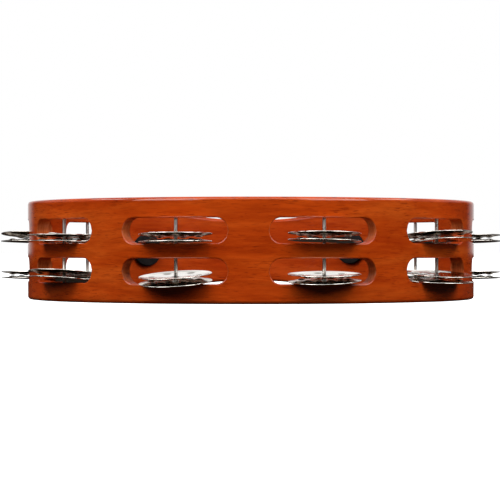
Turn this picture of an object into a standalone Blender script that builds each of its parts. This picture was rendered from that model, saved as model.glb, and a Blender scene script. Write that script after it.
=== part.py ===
"""Double-row wooden tambourine without a head.

A bent-wood hoop with two rows of slots carries sixteen pairs of steel jingles on eight
upright pins. The back of the hoop is a plain grip whose top and bottom edges are waisted.

Metres, +Z up. The hoop stands on the plane z = 0 with the grip at +Y. The origin is the
bottom centre of the whole instrument, jingles included. The jingles reach past the hoop at
the front but not at the grip, so the hoop's own axis lies a little behind the origin.
"""
import math

import bmesh
import bpy
from mathutils import Matrix, Vector

# ---- hoop -------------------------------------------------------------------------------
HOOP_RADIUS = 0.127          # outer radius: a 10 inch hoop
WALL = 0.007
HOOP_HEIGHT = 0.055
HOOP_AXIS_Y = 0.00475        # the hoop's axis, behind the origin
RIM_ROUNDING = 0.00175

# ---- slots, two rows of eight -------------------------------------------------------------
COLUMN_PITCH = 36.0          # degrees between neighbouring pins
COLUMNS_PER_SIDE = 4
SLOT_ARC = 26.4              # degrees, end to end
SLOT_SHIFT = -0.3            # degrees: the slots sit a little to the left of their pins
SLOT_HEIGHT = 0.0132         # the ends are half circles of this diameter
SLOT_FLOORS = {"low": 0.0102, "high": 0.0312}
SLOT_ROUNDING = 0.0006       # the slot edges are eased, inside and out
STEPS_PER_SLOT_END = 4
STEPS_PER_SLOT_MIDDLE = 6
STEPS_PER_POST = 2

# ---- grip at the back ---------------------------------------------------------------------
GRIP_HALF_HEIGHT = 0.0191    # at its middle
GRIP_CUT_RADIUS = 0.275      # the waist is an arc of this radius, cut straight through
STEPS_PER_GRIP_WAIST = 14

# ---- pins ---------------------------------------------------------------------------------
PIN_CIRCLE = HOOP_RADIUS - WALL / 2
PIN_RADIUS = 0.00095
PIN_BOTTOM = 0.0038
PIN_TOP = HOOP_HEIGHT - 0.0005
PIN_ROUNDING = 0.0003
BORE_RADIUS = 0.00125
BORE_BOTTOM = PIN_BOTTOM - 0.0003
PIN_SIDES = 12

# ---- jingles ------------------------------------------------------------------------------
JINGLE_RADIUS = 0.019
JINGLE_SHEET = 0.0005
JINGLE_HOLE_RADIUS = 0.0021
DIMPLES = 6                  # pressed towards the partner; the pair meets on their tips
DIMPLE_CIRCLE = 0.0124
DIMPLE_RADIUS = 0.0025
# A jingle's inner face between its dimples: radius, then height above the dimples' tips.
JINGLE_DISH = (
    (JINGLE_HOLE_RADIUS, 0.00022),
    (DIMPLE_CIRCLE - DIMPLE_RADIUS, 0.00050),
    (DIMPLE_CIRCLE, 0.00060),
    (DIMPLE_CIRCLE + DIMPLE_RADIUS, 0.00076),
    (JINGLE_RADIUS, 0.00127),
)
JINGLE_HEIGHT = JINGLE_DISH[-1][1] + JINGLE_SHEET
JINGLE_SIDES = 3 * DIMPLES
GAP = 0.0003                 # between pieces that rest on each other

# ---- pads on the inner wall, one at each end of the grip ----------------------------------
PAD_RADIUS = 0.010
PAD_THICKNESS = 0.0024
PAD_ROUNDING = 0.0008
PAD_PLACES = {               # degrees from the middle of the front, height of its centre
    "left": (-146.7, 0.0277),
    "right": (148.7, 0.0290),
}
PAD_SIDES = 24

# How each pair lies on its slot floor, in degrees. "dip" lowers a jingle's outer edge and
# "roll" lowers its right-hand edge, seen from outside the hoop. Each entry holds the lower
# jingle's dip and roll, then the upper one's, then how far the pair has turned on its pin.
REST_POSE = {
    ("l1", "low"): (6.9, -0.9, 6.2, -1.8, 10.0),
    ("r1", "low"): (3.4, -2.4, 3.4, -1.1, 26.0),
    ("l1", "high"): (-0.8, -0.8, -2.5, -1.3, 32.0),
    ("r1", "high"): (-1.8, 2.0, -3.0, 1.7, 48.0),
    ("l2", "low"): (-6.2, -1.7, -5.3, -3.0, 5.0),
    ("r2", "low"): (3.1, -0.8, 5.1, -1.9, 39.0),
    ("l2", "high"): (-0.9, -1.3, -0.9, -1.3, 20.0),
    ("r2", "high"): (-4.8, 1.5, -5.4, 2.3, 54.0),
    ("l3", "low"): (-1.0, -2.0, -1.0, -2.0, 30.0),
    ("r3", "low"): (-1.0, 2.0, -1.0, 2.0, 30.0),
    ("l3", "high"): (-1.0, -2.0, -1.5, -5.0, 44.0),
    ("r3", "high"): (-1.0, 2.0, -1.0, 1.5, 22.0),
    ("l4", "low"): (-2.0, 0.0, -1.0, 0.6, 12.0),
    ("r4", "low"): (-2.0, 0.0, -0.6, -0.6, 50.0),
    ("l4", "high"): (-1.6, 0.0, 0.6, 0.8, 37.0),
    ("r4", "high"): (-1.6, 0.0, 1.0, -0.8, 3.0),
}
OUTWARD_SHIFT = 0.0006       # the jingles hang off centre on their oversize holes


def clear_scene():
    for ob in list(bpy.data.objects):
        bpy.data.objects.remove(ob, do_unlink=True)


def make_material(name, color, roughness, metallic):
    """Return a Principled material with one plain colour."""
    mat = bpy.data.materials.new(name)
    mat.use_nodes = True
    shader = mat.node_tree.nodes["Principled BSDF"]
    shader.inputs["Base Color"].default_value = (*color, 1.0)
    shader.inputs["Roughness"].default_value = roughness
    shader.inputs["Metallic"].default_value = metallic
    return mat


def add_object(name, mesh, mat, parent=None):
    ob = bpy.data.objects.new(name, mesh)
    bpy.context.scene.collection.objects.link(ob)
    ob.parent = parent
    if mat and not mesh.materials:
        mesh.materials.append(mat)
    return ob


def add_empty(name, location, turn=0.0, parent=None):
    empty = bpy.data.objects.new(name, None)
    bpy.context.scene.collection.objects.link(empty)
    empty.parent = parent
    empty.location = location
    empty.rotation_euler = (0.0, 0.0, turn)
    return empty


def finish_mesh(bm, name, smooth_angle=35.0):
    """Turn a bmesh into a mesh with outward faces, smooth but for its sharp edges."""
    bmesh.ops.recalc_face_normals(bm, faces=bm.faces)
    mesh = bpy.data.meshes.new(name)
    bm.to_mesh(mesh)
    bm.free()
    mesh.shade_smooth()
    mesh.set_sharp_from_angle(angle=math.radians(smooth_angle))
    return mesh


def turned_mesh(name, profile, sides, closed):
    """Turn a profile of (radius, height) points about Z.

    A closed profile makes a ring. An open one starts and ends with a flat cap.
    """
    bm = bmesh.new()
    rings = []
    for radius, height in profile:
        ring = []
        for i in range(sides):
            turn = 2 * math.pi * i / sides
            ring.append(bm.verts.new((radius * math.cos(turn), radius * math.sin(turn), height)))
        rings.append(ring)
    pairs = list(zip(rings, rings[1:]))
    if closed:
        pairs.append((rings[-1], rings[0]))
    else:
        bm.faces.new(rings[0])
        bm.faces.new(rings[-1])
    for ring, following in pairs:
        for i in range(sides):
            j = (i + 1) % sides
            bm.faces.new((ring[i], ring[j], following[j], following[i]))
    return finish_mesh(bm, name)


def column_angles():
    """The eight pin positions, in degrees from the middle of the front, +ve to the right."""
    angles = {}
    for i in range(COLUMNS_PER_SIDE):
        angle = COLUMN_PITCH * (i + 0.5)
        angles[f"l{i + 1}"] = -angle
        angles[f"r{i + 1}"] = angle
    return angles


def slot_stations():
    """Angles from a slot's centre, in degrees, where the slot outline has a point."""
    end = math.degrees(SLOT_HEIGHT / 2 / HOOP_RADIUS)
    half = SLOT_ARC / 2
    right = []
    for i in range(STEPS_PER_SLOT_END + 1):
        turn = math.radians(90.0 * i / STEPS_PER_SLOT_END)
        right.append(half - end + end * math.sin(turn))
    straight = half - end
    middle = []
    for i in range(1, STEPS_PER_SLOT_MIDDLE):
        middle.append(-straight + 2 * straight * i / STEPS_PER_SLOT_MIDDLE)
    return sorted([-a for a in right] + middle + right)


def slot_half_height(offset):
    """Half the slot's height at an angle from its centre; zero at and beyond its tips."""
    radius = SLOT_HEIGHT / 2
    along = HOOP_RADIUS * math.radians(abs(offset))
    straight = HOOP_RADIUS * math.radians(SLOT_ARC / 2) - radius
    if along <= straight:
        return radius
    return math.sqrt(max(radius ** 2 - (along - straight) ** 2, 0.0))


def grip_half_height(angle):
    """Half the hoop's height at an angle from the front; less than full only at the grip."""
    across = HOOP_RADIUS * math.sin(math.radians(180.0 - abs(angle)))
    if abs(angle) < 90.0 or across >= GRIP_CUT_RADIUS:
        return HOOP_HEIGHT / 2
    drop = GRIP_CUT_RADIUS - math.sqrt(GRIP_CUT_RADIUS ** 2 - across ** 2)
    return min(HOOP_HEIGHT / 2, GRIP_HALF_HEIGHT + drop)


def hoop_stations():
    """Every (angle, slot half height) around the hoop, from the back round to the back."""
    stations = []
    centres = [angle + SLOT_SHIFT for angle in sorted(column_angles().values())]
    for i, centre in enumerate(centres):
        for offset in slot_stations():
            half = slot_half_height(offset)
            if abs(offset) > SLOT_ARC / 2 - 1e-6:
                half = 0.0
            stations.append((centre + offset, half))
        if i + 1 < len(centres):
            tip = centre + SLOT_ARC / 2
            span = COLUMN_PITCH - SLOT_ARC
            for k in range(1, STEPS_PER_POST):
                stations.append((tip + span * k / STEPS_PER_POST, 0.0))
    rise = HOOP_HEIGHT / 2 - GRIP_HALF_HEIGHT
    waist_x = math.sqrt(GRIP_CUT_RADIUS ** 2 - (GRIP_CUT_RADIUS - rise) ** 2)
    waist = math.degrees(math.asin(waist_x / HOOP_RADIUS))
    last_tip = stations[-1][0]
    stations.append(((last_tip + 180.0 - waist) / 2, 0.0))
    for k in range(STEPS_PER_GRIP_WAIST + 1):
        stations.append((180.0 - waist + 2 * waist * k / STEPS_PER_GRIP_WAIST, 0.0))
    stations.append((360.0 - (last_tip + 180.0 - waist) / 2, 0.0))
    return stations


def hoop_mesh():
    """The slotted hoop: three bands of wall, joined wherever there is no slot between them."""
    middles = [floor + SLOT_HEIGHT / 2 for floor in sorted(SLOT_FLOORS.values())]
    bm = bmesh.new()
    weight = bm.edges.layers.float.new("bevel_weight_edge")

    def wall_column(angle, half_slot, radius):
        """One upright line of six points; slot floor and ceiling share a point at a post."""
        turn = math.radians(angle)
        x = radius * math.sin(turn)
        y = -radius * math.cos(turn)
        signed = angle if angle <= 180.0 else angle - 360.0
        half = grip_half_height(signed)
        points = [bm.verts.new((x, y, HOOP_HEIGHT / 2 - half))]
        for middle in middles:
            floor = bm.verts.new((x, y, middle - half_slot))
            points.append(floor)
            points.append(bm.verts.new((x, y, middle + half_slot)) if half_slot else floor)
        points.append(bm.verts.new((x, y, HOOP_HEIGHT / 2 + half)))
        return points

    stations = hoop_stations()
    outer = [wall_column(a, h, HOOP_RADIUS) for a, h in stations]
    inner = [wall_column(a, h, HOOP_RADIUS - WALL) for a, h in stations]
    for i in range(len(stations)):
        j = (i + 1) % len(stations)
        for band in (0, 2, 4):
            for wall in (outer, inner):
                bm.faces.new((wall[i][band], wall[j][band], wall[j][band + 1], wall[i][band + 1]))
        open_here = bool(stations[i][1] or stations[j][1])
        for level in range(6):
            at_rim = level in (0, 5)
            if not (at_rim or open_here):
                continue
            bm.faces.new((outer[i][level], outer[j][level], inner[j][level], inner[i][level]))
            for wall in (outer, inner):
                edge = bm.edges.get((wall[i][level], wall[j][level]))
                edge[weight] = 1.0 if at_rim else SLOT_ROUNDING / RIM_ROUNDING
    return finish_mesh(bm, "hoop", smooth_angle=50.0)


def add_hoop(axis):
    wood = make_material("lacquered_wood", (0.38, 0.045, 0.006), 0.28, 0.0)
    hoop = add_object("hoop", hoop_mesh(), wood, axis)
    rounding = hoop.modifiers.new("rim_rounding", "BEVEL")
    rounding.limit_method = "WEIGHT"
    rounding.width = RIM_ROUNDING
    rounding.segments = 2
    bores = bmesh.new()
    depth = HOOP_HEIGHT + 0.002 - BORE_BOTTOM
    for angle in column_angles().values():
        turn = Matrix.Rotation(math.radians(angle), 4, "Z")
        place = turn @ Matrix.Translation((0.0, -PIN_CIRCLE, BORE_BOTTOM + depth / 2))
        bmesh.ops.create_cone(
            bores, cap_ends=True, segments=PIN_SIDES, radius1=BORE_RADIUS,
            radius2=BORE_RADIUS, depth=depth, matrix=place,
        )
    cutter = add_object("pin_bores", finish_mesh(bores, "pin_bores"), None, axis)
    cutter.hide_render = True
    cutter.display_type = "WIRE"
    drilling = hoop.modifiers.new("pin_bores", "BOOLEAN")
    drilling.operation = "DIFFERENCE"
    drilling.object = cutter


def add_pins(pin_axes):
    steel = make_material("pin_steel", (0.62, 0.62, 0.63), 0.25, 1.0)
    edge = PIN_RADIUS - PIN_ROUNDING
    profile = [
        (edge, PIN_BOTTOM),
        (PIN_RADIUS, PIN_BOTTOM + PIN_ROUNDING),
        (PIN_RADIUS, PIN_TOP - PIN_ROUNDING),
        (edge, PIN_TOP),
    ]
    mesh = turned_mesh("pin", profile, PIN_SIDES, closed=False)
    for column, axis in pin_axes.items():
        add_object(f"pin_{column}", mesh, steel, axis)


def jingle_mesh():
    """A pressed jingle, rim up. z = 0 is where its dimples' tips meet its partner's."""
    face = [(radius, height, 0.0) for radius, height in JINGLE_DISH]
    back = [(radius, height, JINGLE_SHEET) for radius, height in reversed(JINGLE_DISH)]
    bm = bmesh.new()
    rings = []
    tips = set()
    for radius, height, lift in face + back:
        ring = []
        for i in range(JINGLE_SIDES):
            turn = 2 * math.pi * i / JINGLE_SIDES
            at_tip = radius == DIMPLE_CIRCLE and i % (JINGLE_SIDES // DIMPLES) == 0
            z = lift if at_tip else lift + height
            vert = bm.verts.new((radius * math.cos(turn), radius * math.sin(turn), z))
            ring.append(vert)
            if at_tip:
                tips.add(vert)
        rings.append(ring)
    for ring, following in zip(rings, rings[1:] + rings[:1]):
        for i in range(JINGLE_SIDES):
            j = (i + 1) % JINGLE_SIDES
            corners = [ring[i], ring[j], following[j], following[i]]
            first = [k for k, vert in enumerate(corners) if vert in tips]
            if not first:
                bm.faces.new(corners)
                continue
            corners = corners[first[0]:] + corners[:first[0]]
            bm.faces.new((corners[0], corners[1], corners[2]))
            bm.faces.new((corners[0], corners[2], corners[3]))
    return finish_mesh(bm, "jingle")


def tilt_matrix(dip, roll):
    """Lean a jingle about its pin: dip about the local X axis, roll about the local Y axis."""
    lean = Matrix.Rotation(math.radians(dip), 4, "X")
    return lean @ Matrix.Rotation(math.radians(roll), 4, "Y")


def floor_clearance(tilt):
    """How high a rim-down jingle's rim plane must sit so that it clears the slot's floor.

    Only the part of the rim within the wall can touch the floor.
    """
    lowest = 0.0
    for i in range(360):
        turn = math.radians(i)
        edge = Vector((JINGLE_RADIUS * math.cos(turn), JINGLE_RADIUS * math.sin(turn), 0.0))
        point = tilt @ edge
        from_axis = math.hypot(point.x, PIN_CIRCLE + OUTWARD_SHIFT - point.y)
        if abs(from_axis - PIN_CIRCLE) <= WALL / 2:
            lowest = min(lowest, point.z)
    return GAP - lowest


def add_jingles(pin_axes):
    """Stand every pair on its slot's floor, each jingle leaning as REST_POSE says."""
    steel = make_material("jingle_steel", (0.75, 0.74, 0.73), 0.12, 1.0)
    mesh = jingle_mesh()
    turn_over = Matrix.Rotation(math.pi, 4, "X")
    for (column, row), (low_dip, low_roll, up_dip, up_roll, turned) in REST_POSE.items():
        axis = pin_axes[column]
        low_tilt = tilt_matrix(low_dip, low_roll)
        up_tilt = tilt_matrix(up_dip, up_roll)
        # the meeting plane of the lower jingle, measured along its own axis from its rim
        meeting = SLOT_FLOORS[row] + floor_clearance(low_tilt) + JINGLE_HEIGHT
        apart = low_tilt.to_3x3().col[2].angle(up_tilt.to_3x3().col[2])
        step = GAP + DIMPLE_CIRCLE * math.sin(apart)
        spin = Matrix.Rotation(math.radians(turned), 4, "Z")
        for disc, tilt, height in (
            ("lower", low_tilt @ spin @ turn_over, meeting),
            ("upper", up_tilt @ spin, meeting + step),
        ):
            jingle = add_object(f"jingle_{column}_{row}_{disc}", mesh, steel, axis)
            place = Matrix.Translation((0.0, -OUTWARD_SHIFT, height))
            jingle.matrix_local = place @ tilt


def add_pads(hoop_axis):
    """Two round pads that face the middle of the hoop, against the grip's inner wall."""
    rubber = make_material("pad_rubber", (0.006, 0.005, 0.005), 0.75, 0.0)
    profile = [
        (PAD_RADIUS, 0.0),
        (PAD_RADIUS, PAD_THICKNESS - PAD_ROUNDING),
        (PAD_RADIUS - PAD_ROUNDING, PAD_THICKNESS),
    ]
    mesh = turned_mesh("grip_pad", profile, PAD_SIDES, closed=False)
    inner = HOOP_RADIUS - WALL
    # a flat pad's edge meets the round wall first, short of the wall by the sagitta
    back = math.sqrt(inner ** 2 - PAD_RADIUS ** 2) - GAP
    for side, (angle, height) in PAD_PLACES.items():
        pad = add_object(f"grip_pad_{side}", mesh, rubber, hoop_axis)
        turn = Matrix.Rotation(math.radians(angle), 4, "Z")
        out = Matrix.Translation((0.0, -back, height))
        face_in = Matrix.Rotation(math.radians(-90.0), 4, "X")
        pad.matrix_local = turn @ out @ face_in


def main():
    clear_scene()
    hoop_axis = add_empty("hoop_axis", (0.0, HOOP_AXIS_Y, 0.0))
    pin_axes = {}
    for column, angle in column_angles().items():
        turn = math.radians(angle)
        spot = (PIN_CIRCLE * math.sin(turn), -PIN_CIRCLE * math.cos(turn), 0.0)
        pin_axes[column] = add_empty(f"pin_axis_{column}", spot, turn, hoop_axis)
    add_hoop(hoop_axis)
    add_pins(pin_axes)
    add_jingles(pin_axes)
    add_pads(hoop_axis)
    bpy.context.view_layer.update()


main()
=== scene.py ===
"""Looks for the double-row wooden tambourine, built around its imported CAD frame.

Metres, +Z up, the same frame as the CAD: the hoop lies on z = 0 with its grip at +Y.
"""

import math
import random

import bmesh
import bpy
import numpy as np
from mathutils import Matrix, Vector


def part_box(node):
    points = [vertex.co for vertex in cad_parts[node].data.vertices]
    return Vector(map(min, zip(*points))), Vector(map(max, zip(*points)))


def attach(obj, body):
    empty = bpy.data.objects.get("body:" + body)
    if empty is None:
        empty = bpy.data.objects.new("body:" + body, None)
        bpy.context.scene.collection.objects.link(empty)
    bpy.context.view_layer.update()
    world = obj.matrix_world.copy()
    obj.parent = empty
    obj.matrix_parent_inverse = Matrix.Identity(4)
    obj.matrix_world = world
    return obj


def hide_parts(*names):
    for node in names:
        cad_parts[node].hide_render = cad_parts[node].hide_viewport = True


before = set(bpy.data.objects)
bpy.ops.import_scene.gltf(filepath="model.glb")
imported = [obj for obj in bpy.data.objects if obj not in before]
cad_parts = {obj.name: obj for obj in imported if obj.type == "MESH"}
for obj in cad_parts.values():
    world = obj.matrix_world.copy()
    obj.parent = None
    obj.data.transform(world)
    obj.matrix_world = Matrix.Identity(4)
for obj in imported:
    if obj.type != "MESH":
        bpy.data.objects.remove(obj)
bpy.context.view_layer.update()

# ---- sizes that the CAD model has too -----------------------------------------------------------
hoop_low, hoop_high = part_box("hoop")
HOOP_RADIUS = (hoop_high.x - hoop_low.x) / 2
HOOP_HEIGHT = hoop_high.z - hoop_low.z
HOOP_AXIS = Vector((0.0, (hoop_low.y + hoop_high.y) / 2, 0.0))
WALL = 0.007
COLUMN_PITCH = 36.0          # degrees
COLUMNS_PER_SIDE = 4
SLOT_ARC = 26.4              # degrees from tip to tip
SLOT_SHIFT = -0.3            # degrees: the slots sit a little to the left of their pins
SLOT_HEIGHT = 0.0132
SLOT_FLOORS = {"low": 0.0102, "high": 0.0312}
GRIP_HALF_HEIGHT = 0.0191    # at the grip's waist
GRIP_CUT_RADIUS = 0.275      # of the curve that cuts its top and bottom edges
PIN_CIRCLE = HOOP_RADIUS - WALL / 2
BORE_RADIUS = 0.00125
JINGLE_RADIUS = 0.019
JINGLE_SHEET = 0.0005
JINGLE_HOLE_RADIUS = 0.0021
DIMPLES = 6
DIMPLE_CIRCLE = 0.0124       # radius of the circle that the dimples lie on

# ---- finish details -----------------------------------------------------------------------------
RIM_ROUNDING = 0.00175
SLOT_ROUNDING = 0.0006
BORE_DEPTH = 0.004           # how far down the pin holes are cut in the visible hoop
ROUNDING_STEPS = 4           # across the rounded rims and slot edges
BORE_SIDES = 24
STEPS_PER_SLOT_END = 10
STEPS_PER_SLOT_MIDDLE = 14
STEPS_PER_POST = 6
STEPS_PER_GRIP_WAIST = 44
STEPS_BESIDE_WAIST = 5
DIMPLE_WIDTH = 0.0027        # radius of a pressed dimple where it leaves the dish
DIMPLE_TIP = 0.0005          # radius of its flat tip
JINGLE_SECTORS = 96
JINGLE_EDGE_STEPS = 6        # round the sheet's edge, from one face to the other
# A jingle's inner face between its dimples: radius, then height above the dimples' tips.
JINGLE_DISH = (
    (JINGLE_HOLE_RADIUS, 0.00020), (0.0045, 0.00024), (0.0070, 0.00036), (0.0084, 0.00046),
    (0.0098, 0.00050), (0.0124, 0.00060), (0.0149, 0.00076), (0.0170, 0.00108),
    (0.0182, 0.00124), (JINGLE_RADIUS, 0.00129),
)
# The rings of a jingle's mesh from its hole to its rounded edge, closest at the dimples.
JINGLE_RINGS = (
    JINGLE_HOLE_RADIUS, 0.0024, 0.0034, 0.0046, 0.0060, 0.0072, 0.0084, 0.0092, 0.0098,
    0.0104, 0.0109, 0.0114, 0.0119, 0.0124, 0.0129, 0.0134, 0.0139, 0.0144,
    0.0150, 0.0157, 0.0164, 0.0171, 0.0178, 0.0183, 0.0187,
)
# Each jingle's rim is slightly wavy: how many waves, where they start in radians, how high.
WAVE_COUNTS = (2, 3)
WAVE_STARTS = (0, 6.28)
WAVE_HEIGHTS = (0.00003, 0.00009)
WAVE_SEED = 11
# Telling apart the points of a CAD jingle: shares of its radius, and a height over its tips.
NEAR_RIM = 0.8
NEAR_HOLE = 0.2
TIP_MARGIN = 0.00005
PIN_SIDES = 24
PIN_END_STEPS = 3
PIN_END_ROUNDING = 0.35      # as a share of the pin's radius
PAD_SIDES = 64
PAD_EDGE_STEPS = 5
PAD_EDGE_ROUNDING = 0.0009
PAD_BACK_CHAMFER = 0.0004
PAD_CROWN = 0.0002           # how far the pad's face rises inside its rounded edge
PAD_CROWN_POINTS = ((0.55, 0.00006), (0.20, 0.0))    # share of the radius, depth under the top
# Edges sharper than these angles, in degrees, are shaded as sharp.
HOOP_SHARP_ANGLE = 80.0
JINGLE_SHARP_ANGLE = 60.0
TURNED_SHARP_ANGLE = 35.0

# ---- colours, as linear red, green and blue -----------------------------------------------------
BLACK = (0.0, 0.0, 0.0)
WHITE = (1.0, 1.0, 1.0)
WOOD_DARK = (0.345, 0.0320, 0.0020)
WOOD_MIDDLE = (0.425, 0.0480, 0.0032)
WOOD_PALE = (0.500, 0.0740, 0.0066)
WOOD_PORE = (0.130, 0.0120, 0.0012)
FIBRE_DARK = (0.80, 0.74, 0.68)
FIBRE_PALE = (1.07, 1.10, 1.14)
END_GRAIN_DARK = (0.220, 0.0300, 0.0045)
END_GRAIN_PALE = (0.600, 0.1450, 0.0400)
# painted shade: the wood inside the hoop and in the slots is multiplied darker, and its hue is
# shifted redder
INSIDE_SHADE_AND_TONE = (0.86, 0.78, 1.10)     # the wood inside the hoop, as a share of that outside
PIN_STEEL = (0.70, 0.68, 0.65)
JINGLE_STEEL = (0.84, 0.79, 0.72)
# painted shade and painted brown reflection: the darker, browner steel of the jingles' inner
# faces, between the discs
SHADED_INNER_STEEL = (0.50, 0.43, 0.34)
RUBBER_DARK = (0.0055, 0.0042, 0.0046)
RUBBER_PALE = (0.012, 0.010, 0.010)
FLOOR_PALE = (0.80, 0.80, 0.80)
FLOOR_UNSEEN = (0.020, 0.015, 0.012)

# ---- view and light -----------------------------------------------------------------------------
CAMERA_LENS = 143.6          # millimetres, with the sensor's width
CAMERA_SENSOR = 36.0
CAMERA_CLIP = (0.05, 50.0)
CAMERA_DISTANCE = 1.143      # from the hoop's axis
CAMERA_TURN = 0.25           # degrees to the right of square on
CAMERA_SIDE_STEP = -0.0005
CAMERA_RISE = 0.0002         # above the hoop's middle height
FLOOR_HALF_SIZE = 12.0
FLOOR_GAP = 0.0002           # between the hoop's lower edge and the floor
FLOOR_GLOW = 1.2
LIGHT_TARGET = (0.0, 0.0, 0.02)
# Each softbox: name, place, width and height, power in watts.
SOFTBOXES = (
    ("left_box", (-1.00, -1.02, 0.85), (0.9, 0.9), 13.0),
    ("right_box", (1.02, -1.00, 0.85), (0.9, 0.9), 12.0),
    ("top_box", (0.0, -0.66, 1.05), (2.4, 0.5), 15.5),
    ("left_wing", (-1.00, 0.0, 0.95), (0.6, 0.3), 4.0),
    ("right_wing", (1.00, 0.0, 0.95), (0.6, 0.3), 4.5),
)


# ---- node helpers -------------------------------------------------------------------------------
class Nodes:
    """Shorthand for adding and joining shader nodes."""

    def __init__(self, tree):
        self.tree = tree

    def add(self, kind, **settings):
        node = self.tree.nodes.new("ShaderNode" + kind)
        for key, value in settings.items():
            setattr(node, key, value)
        return node

    def link(self, source, target):
        self.tree.links.new(source, target)

    def math(self, operation, a, b=None):
        node = self.add("Math", operation=operation)
        for socket, value in zip(node.inputs, (a, b)):
            if value is None:
                continue
            if isinstance(value, (int, float)):
                socket.default_value = value
            else:
                self.link(value, socket)
        return node.outputs[0]

    def ramp(self, source, stops, interpolation="LINEAR"):
        node = self.add("ValToRGB")
        node.color_ramp.interpolation = interpolation
        elements = node.color_ramp.elements
        while len(elements) < len(stops):
            elements.new(0.5)
        for element, (position, color) in zip(elements, stops):
            element.position = position
            element.color = (*color, 1.0)
        self.link(source, node.inputs[0])
        return node.outputs[0]

    def mix(self, factor, a, b, blend="MIX"):
        node = self.add("Mix", data_type="RGBA", blend_type=blend)
        for socket, value in zip((node.inputs[0], node.inputs[6], node.inputs[7]), (factor, a, b)):
            if isinstance(value, (int, float)):
                socket.default_value = value
            elif isinstance(value, tuple):
                socket.default_value = (*value, 1.0)
            else:
                self.link(value, socket)
        return node.outputs[2]

    def remap(self, source, low, high, from_low=0.0, from_high=1.0):
        """Bring a value from one range to another, which it then stays inside."""
        node = self.add("MapRange")
        node.inputs["From Min"].default_value = from_low
        node.inputs["From Max"].default_value = from_high
        node.inputs["To Min"].default_value = low
        node.inputs["To Max"].default_value = high
        self.link(source, node.inputs["Value"])
        return node.outputs[0]

    def noise(self, vector, scale, detail=2.0, roughness=0.5, distortion=0.0):
        node = self.add("TexNoise")
        node.inputs["Scale"].default_value = scale
        node.inputs["Detail"].default_value = detail
        node.inputs["Roughness"].default_value = roughness
        node.inputs["Distortion"].default_value = distortion
        self.link(vector, node.inputs["Vector"])
        return node.outputs["Fac"]

    def bump(self, height, strength, distance, normal=None):
        node = self.add("Bump")
        node.inputs["Strength"].default_value = strength
        node.inputs["Distance"].default_value = distance
        self.link(height, node.inputs["Height"])
        if normal:
            self.link(normal, node.inputs["Normal"])
        return node.outputs[0]


def grey(level):
    return (level, level, level)


def new_material(name):
    """A new material, its nodes and its Principled shader."""
    mat = bpy.data.materials.new(name)
    mat.use_nodes = True
    return mat, Nodes(mat.node_tree), mat.node_tree.nodes["Principled BSDF"]


# ---- materials ----------------------------------------------------------------------------------
def wood_material(name, tone, coat, coat_roughness):
    """Red-brown stained wood under lacquer, its grain running round the hoop."""
    mat, n, shader = new_material(name)
    place = n.add("TexCoord").outputs["Object"]
    apart = n.add("SeparateXYZ")
    n.link(place, apart.inputs[0])
    x, y, z = apart.outputs
    y = n.math("SUBTRACT", y, HOOP_AXIS.y)
    squares = n.math("ADD", n.math("MULTIPLY", x, x), n.math("MULTIPLY", y, y))
    radius = n.math("SQRT", squares)

    def grain_noise(round_scale, up_scale, through_scale, shift, **character):
        """Noise that changes slowly round the hoop and quickly up and through it."""
        across = n.math("MULTIPLY", z, up_scale)
        through = n.math("MULTIPLY", radius, through_scale)
        joined = n.add("CombineXYZ")
        n.link(n.math("ADD", n.math("MULTIPLY", x, round_scale), shift), joined.inputs[0])
        n.link(n.math("MULTIPLY", y, round_scale), joined.inputs[1])
        n.link(n.math("ADD", across, through), joined.inputs[2])
        return n.noise(joined.outputs[0], 1.0, **character)

    bands = grain_noise(round_scale=16.0, up_scale=90.0, through_scale=60.0, shift=0.0,
                        detail=3.0, roughness=0.55, distortion=0.5)
    fibres = grain_noise(round_scale=55.0, up_scale=430.0, through_scale=260.0, shift=7.0,
                         detail=4.0, roughness=0.6, distortion=0.4)
    flecks = grain_noise(round_scale=190.0, up_scale=2500.0, through_scale=900.0, shift=13.0,
                         detail=1.0, roughness=0.5, distortion=0.6)
    patches = grain_noise(round_scale=40.0, up_scale=160.0, through_scale=100.0, shift=23.0,
                          detail=1.0)

    base = n.ramp(bands, [(0.30, WOOD_DARK), (0.50, WOOD_MIDDLE), (0.70, WOOD_PALE)])
    fibre_tone = n.ramp(fibres, [(0.32, FIBRE_DARK), (0.64, FIBRE_PALE)])
    base = n.mix(1.0, base, fibre_tone, "MULTIPLY")
    pores = n.ramp(flecks, [(0.585, BLACK), (0.68, WHITE)])
    crowded = n.ramp(patches, [(0.36, grey(0.15)), (0.62, grey(0.75))])
    pore_share = n.math("MULTIPLY", pores, crowded)
    base = n.mix(pore_share, base, WOOD_PORE)
    # tone multiplies the wood's colour; inside the hoop and in the slots it is painted shade that
    # darkens it, with a redder hue
    base = n.mix(1.0, base, tone, "MULTIPLY")

    # where the surface faces along the grain it is end grain, which takes the stain unevenly
    facing = n.add("SeparateXYZ")
    n.link(n.add("TexCoord").outputs["Normal"], facing.inputs[0])
    turning = n.math("SUBTRACT", n.math("MULTIPLY", facing.outputs[0], y),
                     n.math("MULTIPLY", facing.outputs[1], x))
    along = n.math("ABSOLUTE", n.math("DIVIDE", turning, radius))
    end_grain = n.ramp(along, [(0.45, BLACK), (0.85, WHITE)])
    end_pattern = grain_noise(round_scale=500.0, up_scale=60.0, through_scale=1500.0, shift=31.0)
    end_tone = n.mix(end_pattern, END_GRAIN_DARK, END_GRAIN_PALE)
    base = n.mix(end_grain, base, end_tone)
    n.link(base, shader.inputs["Base Color"])

    n.link(n.remap(fibres, low=0.38, high=0.52), shader.inputs["Roughness"])
    shader.inputs["Specular IOR Level"].default_value = 0.0
    shader.inputs["Coat Weight"].default_value = coat
    shader.inputs["Coat Roughness"].default_value = coat_roughness
    shader.inputs["Coat IOR"].default_value = 1.45
    grain = n.bump(fibres, strength=0.15, distance=0.0001)
    between_pores = n.math("SUBTRACT", 1.0, pores)
    surface = n.bump(between_pores, strength=0.2, distance=0.0001, normal=grain)
    n.link(surface, shader.inputs["Normal"])
    return mat


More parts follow.
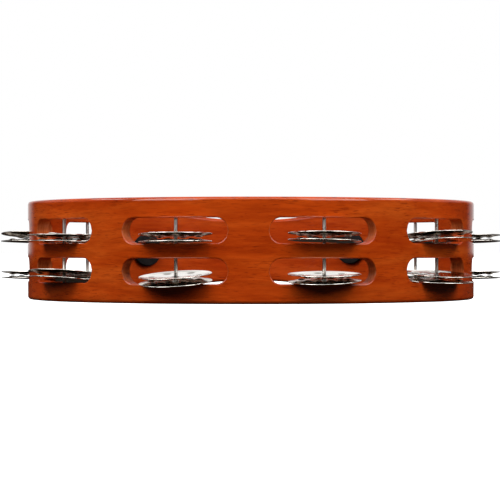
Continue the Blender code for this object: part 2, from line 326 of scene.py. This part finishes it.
def steel_material(name, color, low_roughness, high_roughness, ripple, ripple_scale):
    """Bright steel with faint rubs and an uneven polish."""
    mat, n, shader = new_material(name)
    place = n.add("TexCoord").outputs["Object"]
    patches = n.noise(place, scale=160.0, detail=3.0, roughness=0.6)
    rubs = n.noise(place, scale=2600.0, detail=2.0, roughness=0.6)
    worn = n.math("ADD", n.math("MULTIPLY", patches, 0.65), n.math("MULTIPLY", rubs, 0.35))
    rough = n.remap(worn, low_roughness, high_roughness, from_low=0.3, from_high=0.7)
    n.link(rough, shader.inputs["Roughness"])
    dull = tuple(0.86 * c for c in color)
    tone = n.ramp(patches, [(0.35, dull), (0.65, color)])
    n.link(tone, shader.inputs["Base Color"])
    shader.inputs["Metallic"].default_value = 1.0
    waves = n.noise(place, ripple_scale)
    n.link(n.bump(waves, strength=ripple, distance=0.0003), shader.inputs["Normal"])
    return mat


def rubber_material():
    """Matt black rubber with a fine pebbled skin."""
    mat, n, shader = new_material("pad_rubber")
    place = n.add("TexCoord").outputs["Object"]
    pebbles = n.noise(place, scale=2200.0, detail=2.0, roughness=0.6)
    scuffs = n.noise(place, scale=240.0, detail=3.0, roughness=0.6)
    tone = n.ramp(scuffs, [(0.4, RUBBER_DARK), (0.75, RUBBER_PALE)])
    n.link(tone, shader.inputs["Base Color"])
    n.link(n.remap(scuffs, low=0.6, high=0.85), shader.inputs["Roughness"])
    shader.inputs["Specular IOR Level"].default_value = 0.12
    n.link(n.bump(pebbles, strength=0.3, distance=0.0002), shader.inputs["Normal"])
    return mat


# ---- mesh helpers -------------------------------------------------------------------------------
def finish_mesh(bm, name, sharp_angle):
    """Turn a bmesh into a smooth-shaded mesh whose faces point out."""
    bmesh.ops.recalc_face_normals(bm, faces=bm.faces)
    mesh = bpy.data.meshes.new(name)
    bm.to_mesh(mesh)
    bm.free()
    mesh.shade_smooth()
    mesh.set_sharp_from_angle(angle=math.radians(sharp_angle))
    return mesh


def add_piece(name, mesh, materials, body, node):
    """Show a new piece in place of a CAD node, riding on the node's body."""
    ob = bpy.data.objects.new(name, mesh)
    bpy.context.scene.collection.objects.link(ob)
    for mat in materials:
        mesh.materials.append(mat)
    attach(ob, body)
    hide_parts(node)
    return ob


def turned_mesh(name, profile, sides):
    """Turn an open profile of (radius, height) points about Z and cap both ends."""
    bm = bmesh.new()
    rings = []
    for radius, height in profile:
        ring = []
        for i in range(sides):
            turn = 2 * math.pi * i / sides
            ring.append(bm.verts.new((radius * math.cos(turn), radius * math.sin(turn), height)))
        rings.append(ring)
    bm.faces.new(rings[0])
    bm.faces.new(rings[-1])
    for ring, following in zip(rings, rings[1:]):
        for i in range(sides):
            j = (i + 1) % sides
            bm.faces.new((ring[i], ring[j], following[j], following[i]))
    return finish_mesh(bm, name, TURNED_SHARP_ANGLE)


def quarter_round(radius, height, rounding, steps, top):
    """Profile points of a rounded edge: side to flat at the top, flat to side at the bottom."""
    points = []
    for i in range(steps + 1):
        turn = math.radians(90.0 * i / steps)
        across = radius - rounding + rounding * math.cos(turn)
        up = rounding * math.sin(turn)
        points.append((across, height - rounding + up if top else height + rounding - up))
    return points if top else points[::-1]


# ---- hoop ---------------------------------------------------------------------------------------
def column_angles():
    """The pin positions, in degrees from the middle of the front, positive to the right."""
    angles = {}
    for i in range(COLUMNS_PER_SIDE):
        angles[f"l{i + 1}"] = -COLUMN_PITCH * (i + 0.5)
        angles[f"r{i + 1}"] = COLUMN_PITCH * (i + 0.5)
    return angles


def slot_stations():
    """Angles from a slot's centre where its outline has a point."""
    end = math.degrees(SLOT_HEIGHT / 2 / HOOP_RADIUS)
    straight = SLOT_ARC / 2 - end
    right = []
    for i in range(STEPS_PER_SLOT_END + 1):
        right.append(straight + end * math.sin(math.radians(90.0 * i / STEPS_PER_SLOT_END)))
    middle = []
    for i in range(1, STEPS_PER_SLOT_MIDDLE):
        middle.append(-straight + 2 * straight * i / STEPS_PER_SLOT_MIDDLE)
    return sorted([-a for a in right] + middle + right)


def slot_half_height(offset):
    """Half a slot's height at an angle from its centre: a straight stretch, then round ends."""
    radius = SLOT_HEIGHT / 2
    along = HOOP_RADIUS * math.radians(abs(offset))
    straight = HOOP_RADIUS * math.radians(SLOT_ARC / 2) - radius
    if along <= straight:
        return radius
    return math.sqrt(max(radius ** 2 - (along - straight) ** 2, 0.0))


def grip_half_height(angle):
    """Half the hoop's height at an angle from the front; less than full only at the grip."""
    if math.cos(math.radians(angle)) > 0.0:
        return HOOP_HEIGHT / 2
    across = HOOP_RADIUS * math.sin(math.radians(angle))
    drop = GRIP_CUT_RADIUS - math.sqrt(GRIP_CUT_RADIUS ** 2 - across ** 2)
    return min(HOOP_HEIGHT / 2, GRIP_HALF_HEIGHT + drop)


def evenly_between(low, high, steps):
    """The points that part a stretch into equal steps, without its two ends."""
    return [low + (high - low) * k / steps for k in range(1, steps)]


def hoop_stations():
    """Every (angle, slot half height) round the hoop: slots and posts, then the grip."""
    stations = []
    centres = [angle + SLOT_SHIFT for angle in sorted(column_angles().values())]
    for i, centre in enumerate(centres):
        for offset in slot_stations():
            at_tip = math.isclose(abs(offset), SLOT_ARC / 2)
            stations.append((centre + offset, 0.0 if at_tip else slot_half_height(offset)))
        if i + 1 < len(centres):
            tip = centre + SLOT_ARC / 2
            next_tip = tip + COLUMN_PITCH - SLOT_ARC
            stations += [(a, 0.0) for a in evenly_between(tip, next_tip, STEPS_PER_POST)]
    rise = HOOP_HEIGHT / 2 - GRIP_HALF_HEIGHT
    waist_x = math.sqrt(GRIP_CUT_RADIUS ** 2 - (GRIP_CUT_RADIUS - rise) ** 2)
    waist = math.degrees(math.asin(waist_x / HOOP_RADIUS))
    last_tip = stations[-1][0]
    beside = evenly_between(last_tip, 180.0 - waist, STEPS_BESIDE_WAIST)
    stations += [(a, 0.0) for a in beside]
    for k in range(STEPS_PER_GRIP_WAIST + 1):
        stations.append((180.0 - waist + 2 * waist * k / STEPS_PER_GRIP_WAIST, 0.0))
    stations += [(360.0 - a, 0.0) for a in reversed(beside)]
    return stations


def hoop_mesh():
    """The slotted hoop as three bands of wall that join wherever no slot parts them."""
    middles = [floor + SLOT_HEIGHT / 2 for floor in sorted(SLOT_FLOORS.values())]
    bm = bmesh.new()
    weight = bm.edges.layers.float.new("bevel_weight_edge")

    def wall_column(angle, half_slot, radius):
        """Six points up the wall: its lower edge, each slot's floor and top, its upper edge."""
        turn = math.radians(angle)
        x = HOOP_AXIS.x + radius * math.sin(turn)
        y = HOOP_AXIS.y - radius * math.cos(turn)
        half = grip_half_height(angle)
        points = [bm.verts.new((x, y, HOOP_HEIGHT / 2 - half))]
        for middle in middles:
            floor = bm.verts.new((x, y, middle - half_slot))
            points.append(floor)
            points.append(bm.verts.new((x, y, middle + half_slot)) if half_slot else floor)
        points.append(bm.verts.new((x, y, HOOP_HEIGHT / 2 + half)))
        return points

    stations = hoop_stations()
    walls = []
    for radius in (HOOP_RADIUS, HOOP_RADIUS - WALL):
        walls.append([wall_column(a, h, radius) for a, h in stations])
    outer, inner = walls
    bands = (0, 2, 4)        # solid wall under the low slots, between the rows, over the high ones
    rim_levels = (0, 5)
    for i in range(len(stations)):
        j = (i + 1) % len(stations)
        for band in bands:
            for side, wall in enumerate(walls):
                face = bm.faces.new((wall[i][band], wall[j][band],
                                     wall[j][band + 1], wall[i][band + 1]))
                face.material_index = side
        open_here = bool(stations[i][1] or stations[j][1])
        for level in range(len(outer[i])):
            at_edge = level in rim_levels
            if not (at_edge or open_here):
                continue
            face = bm.faces.new((outer[i][level], outer[j][level],
                                 inner[j][level], inner[i][level]))
            face.material_index = 0 if at_edge else 1
            for wall in walls:
                edge = bm.edges.get((wall[i][level], wall[j][level]))
                edge[weight] = 1.0 if at_edge else SLOT_ROUNDING / RIM_ROUNDING
    return finish_mesh(bm, "wood_hoop", HOOP_SHARP_ANGLE)


def bore_cutters():
    """Short cylinders that open the pin holes in the hoop's top edge."""
    bm = bmesh.new()
    for angle in column_angles().values():
        turn = Matrix.Translation(HOOP_AXIS) @ Matrix.Rotation(math.radians(angle), 4, "Z")
        place = turn @ Matrix.Translation((0.0, -PIN_CIRCLE, HOOP_HEIGHT))
        bmesh.ops.create_cone(bm, cap_ends=True, segments=BORE_SIDES, radius1=BORE_RADIUS,
                              radius2=BORE_RADIUS, depth=2 * BORE_DEPTH, matrix=place)
    mesh = finish_mesh(bm, "bore_cutters", TURNED_SHARP_ANGLE)
    cutter = bpy.data.objects.new("bore_cutters", mesh)
    bpy.context.scene.collection.objects.link(cutter)
    return cutter


def add_hoop(glossy, duller):
    """Glossy lacquer outside and on the rims, thinner lacquer inside and in the slots, where the
    wood is also painted darker as shade.
    """
    hoop = add_piece("wood_hoop", hoop_mesh(), (glossy, duller), "hoop", "hoop")
    rounding = hoop.modifiers.new("rounding", "BEVEL")
    rounding.limit_method = "WEIGHT"
    rounding.width = RIM_ROUNDING
    rounding.segments = ROUNDING_STEPS
    cutter = bore_cutters()
    drilling = hoop.modifiers.new("pin_holes", "BOOLEAN")
    drilling.operation = "DIFFERENCE"
    drilling.object = cutter
    shading = hoop.modifiers.new("flat_faces_stay_flat", "WEIGHTED_NORMAL")
    shading.weight = 100
    shading.keep_sharp = True
    depsgraph = bpy.context.evaluated_depsgraph_get()
    mesh = bpy.data.meshes.new_from_object(hoop.evaluated_get(depsgraph))
    hoop.modifiers.clear()
    hoop.data = mesh
    bpy.data.objects.remove(cutter, do_unlink=True)


# ---- pins ---------------------------------------------------------------------------------------
def add_pins(mat):
    for column in column_angles():
        low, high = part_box(f"pin_{column}")
        radius = (high.x - low.x) / 2
        rounding = radius * PIN_END_ROUNDING
        profile = quarter_round(radius, 0.0, rounding, PIN_END_STEPS, top=False)
        profile += quarter_round(radius, high.z - low.z, rounding, PIN_END_STEPS, top=True)
        mesh = turned_mesh(f"steel_pin_{column}", profile, PIN_SIDES)
        mesh.transform(Matrix.Translation(((low.x + high.x) / 2, (low.y + high.y) / 2, low.z)))
        add_piece(f"steel_pin_{column}", mesh, (mat,), "hoop", f"pin_{column}")


# ---- jingles ------------------------------------------------------------------------------------
def smooth_step(value, low, high):
    """Rise smoothly from 0 at low to 1 at high."""
    t = min(max((value - low) / (high - low), 0.0), 1.0)
    return t * t * (3 - 2 * t)


def jingle_underside(radius, turn, waves):
    """Height of a jingle's inner face above the plane where its dimples meet its partner's."""
    height = float(np.interp(radius, *zip(*JINGLE_DISH)))
    count, start, wave_height = waves
    edge = smooth_step(radius, DIMPLE_CIRCLE, JINGLE_RADIUS)
    height += edge * wave_height * math.sin(count * turn + start)
    nearest = math.inf
    for k in range(DIMPLES):
        bearing = 2 * math.pi * k / DIMPLES
        dx = radius * math.cos(turn) - DIMPLE_CIRCLE * math.cos(bearing)
        dy = radius * math.sin(turn) - DIMPLE_CIRCLE * math.sin(bearing)
        nearest = min(nearest, math.hypot(dx, dy))
    return height * smooth_step(nearest, DIMPLE_TIP, DIMPLE_WIDTH)


def jingle_mesh(name, waves):
    """A pressed steel jingle: shallow dish, six dimples, flared rim, rounded sheet edge.

    Its first material is for the outer face and the edges, its second for the inner face.
    """
    bm = bmesh.new()

    def ring(radius, lift, height_radius=None):
        """A ring of points at a lift above the inner face, as that is at height_radius."""
        points = []
        for i in range(JINGLE_SECTORS):
            turn = 2 * math.pi * i / JINGLE_SECTORS
            z = jingle_underside(height_radius or radius, turn, waves) + lift
            points.append(bm.verts.new((radius * math.cos(turn), radius * math.sin(turn), z)))
        return points

    under = [ring(radius, 0.0) for radius in JINGLE_RINGS]
    over = [ring(radius, JINGLE_SHEET) for radius in JINGLE_RINGS]
    edge = []
    for k in range(JINGLE_EDGE_STEPS + 1):
        turn = math.pi * (k / JINGLE_EDGE_STEPS - 0.5)
        inset = JINGLE_SHEET / 2 * (1 - math.cos(turn))
        lift = JINGLE_SHEET / 2 * (1 + math.sin(turn))
        edge.append(ring(JINGLE_RADIUS - inset, lift, JINGLE_RADIUS))
    rings = under + edge + over[::-1]
    for level, (inner, outer) in enumerate(zip(rings, rings[1:] + rings[:1])):
        for i in range(JINGLE_SECTORS):
            j = (i + 1) % JINGLE_SECTORS
            face = bm.faces.new((inner[i], inner[j], outer[j], outer[i]))
            face.material_index = 1 if level < len(under) - 1 else 0
    return finish_mesh(bm, name, JINGLE_SHARP_ANGLE)


def jingle_place(node):
    """Where a CAD jingle lies: origin on its dimples' tips, +Z away from its partner.

    +X points to one of its dimples.
    """
    points = np.array([v.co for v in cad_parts[node].data.vertices], float)
    middle = points.mean(axis=0)
    normal = np.linalg.svd(points - middle)[2][2]
    along = (points - middle) @ normal
    radial = np.linalg.norm(points - middle - np.outer(along, normal), axis=1)
    rim = along[radial > NEAR_RIM * radial.max()].mean()
    hole = along[radial < NEAR_HOLE * radial.max()].mean()
    if rim < hole:
        normal, along = -normal, -along
    origin = middle + normal * along.min()
    tips = points[along < along.min() + TIP_MARGIN]
    x_axis = tips[0] - origin
    x_axis -= normal * (x_axis @ normal)
    x_axis /= np.linalg.norm(x_axis)
    place = Matrix.Identity(4)
    for i, column in enumerate((x_axis, np.cross(normal, x_axis), normal, origin)):
        for row in range(3):
            place[row][i] = column[row]
    return place


def add_jingles(bright, inner_shade):
    """Every jingle is bright outside and at its rim, and darker and browner where it faces its
    partner: painted shade between the discs, with a painted brown reflection of the wood.
    """
    rng = random.Random(WAVE_SEED)
    for column in sorted(column_angles()):
        for row in sorted(SLOT_FLOORS):
            for disc in ("lower", "upper"):
                tag = f"{column}_{row}_{disc}"
                waves = (rng.choice(WAVE_COUNTS), rng.uniform(*WAVE_STARTS),
                         rng.uniform(*WAVE_HEIGHTS))
                mesh = jingle_mesh(f"steel_{tag}", waves)
                mesh.transform(jingle_place(f"jingle_{tag}"))
                add_piece(f"steel_{tag}", mesh, (bright, inner_shade), f"jingle_{tag}",
                          f"jingle_{tag}")


# ---- pads ---------------------------------------------------------------------------------------
def add_pads(mat):
    for side in ("left", "right"):
        points = np.array([v.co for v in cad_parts[f"grip_pad_{side}"].data.vertices], float)
        middle = points.mean(axis=0)
        inward = Vector((HOOP_AXIS.x - middle[0], HOOP_AXIS.y - middle[1], 0.0)).normalized()
        depth = (points - middle) @ np.array(inward)
        back = depth.min()
        thick = depth.max() - back
        radius = (points[:, 2].max() - points[:, 2].min()) / 2
        profile = [(radius - PAD_BACK_CHAMFER, 0.0), (radius, PAD_BACK_CHAMFER)]
        profile += quarter_round(radius, thick - PAD_CROWN, PAD_EDGE_ROUNDING, PAD_EDGE_STEPS,
                                 top=True)
        profile += [(radius * share, thick - under) for share, under in PAD_CROWN_POINTS]
        mesh = turned_mesh(f"rubber_pad_{side}", profile, PAD_SIDES)
        turn = inward.to_track_quat("Z", "Y").to_matrix().to_4x4()
        spot = Vector((middle[0], middle[1], (points[:, 2].max() + points[:, 2].min()) / 2))
        mesh.transform(Matrix.Translation(spot + inward * back) @ turn)
        add_piece(f"rubber_pad_{side}", mesh, (mat,), "hoop", f"grip_pad_{side}")


# ---- stage --------------------------------------------------------------------------------------
def add_camera():
    data = bpy.data.cameras.new("camera")
    data.lens = CAMERA_LENS
    data.sensor_width = CAMERA_SENSOR
    data.clip_start, data.clip_end = CAMERA_CLIP
    camera = bpy.data.objects.new("camera", data)
    bpy.context.scene.collection.objects.link(camera)
    turn = Matrix.Translation(HOOP_AXIS) @ Matrix.Rotation(math.radians(CAMERA_TURN), 4, "Z")
    height = HOOP_HEIGHT / 2 + CAMERA_RISE
    spot = Matrix.Translation((CAMERA_SIDE_STEP, -CAMERA_DISTANCE, height))
    level = Matrix.Rotation(math.pi / 2, 4, "X")
    camera.matrix_world = turn @ spot @ level
    bpy.context.scene.camera = camera


def add_softbox(name, location, size, power):
    """A rectangular light that the camera doesn't see, turned towards the object."""
    data = bpy.data.lights.new(name, "AREA")
    data.shape = "RECTANGLE"
    data.size, data.size_y = size
    data.energy = power
    light = bpy.data.objects.new(name, data)
    bpy.context.scene.collection.objects.link(light)
    light.location = location
    aim = Vector(LIGHT_TARGET) - Vector(location)
    light.rotation_euler = aim.to_track_quat("-Z", "Y").to_euler()
    light.visible_camera = False


def floor_material():
    """White to the camera, nearly black to the object that stands on it."""
    mat, n, shader = new_material("pale_floor")
    shader.inputs["Base Color"].default_value = (*FLOOR_PALE, 1.0)
    shader.inputs["Roughness"].default_value = 0.9
    shader.inputs["Specular IOR Level"].default_value = 0.1
    shader.inputs["Emission Color"].default_value = (*WHITE, 1.0)
    shader.inputs["Emission Strength"].default_value = FLOOR_GLOW
    unseen = n.add("BsdfDiffuse")
    unseen.inputs["Color"].default_value = (*FLOOR_UNSEEN, 1.0)
    share = n.add("MixShader")
    n.link(n.add("LightPath").outputs["Is Camera Ray"], share.inputs[0])
    n.link(unseen.outputs[0], share.inputs[1])
    n.link(shader.outputs[0], share.inputs[2])
    n.link(share.outputs[0], mat.node_tree.nodes["Material Output"].inputs["Surface"])
    return mat


def add_floor():
    bm = bmesh.new()
    bmesh.ops.create_grid(bm, x_segments=1, y_segments=1, size=FLOOR_HALF_SIZE)
    floor_mesh = bpy.data.meshes.new("floor")
    bm.to_mesh(floor_mesh)
    bm.free()
    floor_mesh.materials.append(floor_material())
    floor = bpy.data.objects.new("floor", floor_mesh)
    bpy.context.scene.collection.objects.link(floor)
    floor.location = (0.0, 0.0, -FLOOR_GAP)


def add_world():
    """A studio that the camera sees as white.

    The object sees it dark, with a bright patch low behind it and a soft sky higher up.
    """
    world = bpy.data.worlds.new("studio")
    bpy.context.scene.world = world
    world.use_nodes = True
    n = Nodes(world.node_tree)
    background = world.node_tree.nodes["Background"]
    apart = n.add("SeparateXYZ")
    n.link(n.add("TexCoord").outputs["Generated"], apart.inputs[0])
    backward = n.math("ADD", n.math("MULTIPLY", apart.outputs[1], 0.5), 0.5)
    behind = n.ramp(backward, [(0.905, grey(0.015)), (0.996, grey(0.78))], "EASE")
    high_up = n.ramp(apart.outputs[2], [(0.13, BLACK), (0.36, WHITE)], "EASE")
    rearward = n.ramp(backward, [(0.45, grey(0.20)), (0.85, grey(0.50))], "EASE")
    around = n.mix(1.0, behind, n.mix(1.0, high_up, rearward, "MULTIPLY"), "ADD")
    seen = n.add("LightPath").outputs["Is Camera Ray"]
    n.link(n.mix(seen, around, WHITE), background.inputs["Color"])


def main():
    """Set the stage, then show every CAD node as its finished piece."""
    add_camera()
    add_floor()
    add_world()
    for softbox in SOFTBOXES:
        add_softbox(*softbox)
    add_hoop(wood_material("glossy_wood", tone=WHITE, coat=0.9, coat_roughness=0.07),
             wood_material("duller_wood", tone=INSIDE_SHADE_AND_TONE, coat=0.3, coat_roughness=0.2))
    add_pins(steel_material("pin_steel", PIN_STEEL, low_roughness=0.24, high_roughness=0.34,
                            ripple=0.03, ripple_scale=300.0))
    add_jingles(steel_material("jingle_steel", JINGLE_STEEL, low_roughness=0.05,
                               high_roughness=0.12, ripple=0.06, ripple_scale=230.0),
                # the inner faces get darker, browner steel as painted shade and painted reflection
                # between the discs
                steel_material("shaded_inner_steel", SHADED_INNER_STEEL, low_roughness=0.10,
                               high_roughness=0.20, ripple=0.08, ripple_scale=230.0))
    add_pads(rubber_material())
    bpy.context.scene.view_settings.view_transform = "Standard"


main()
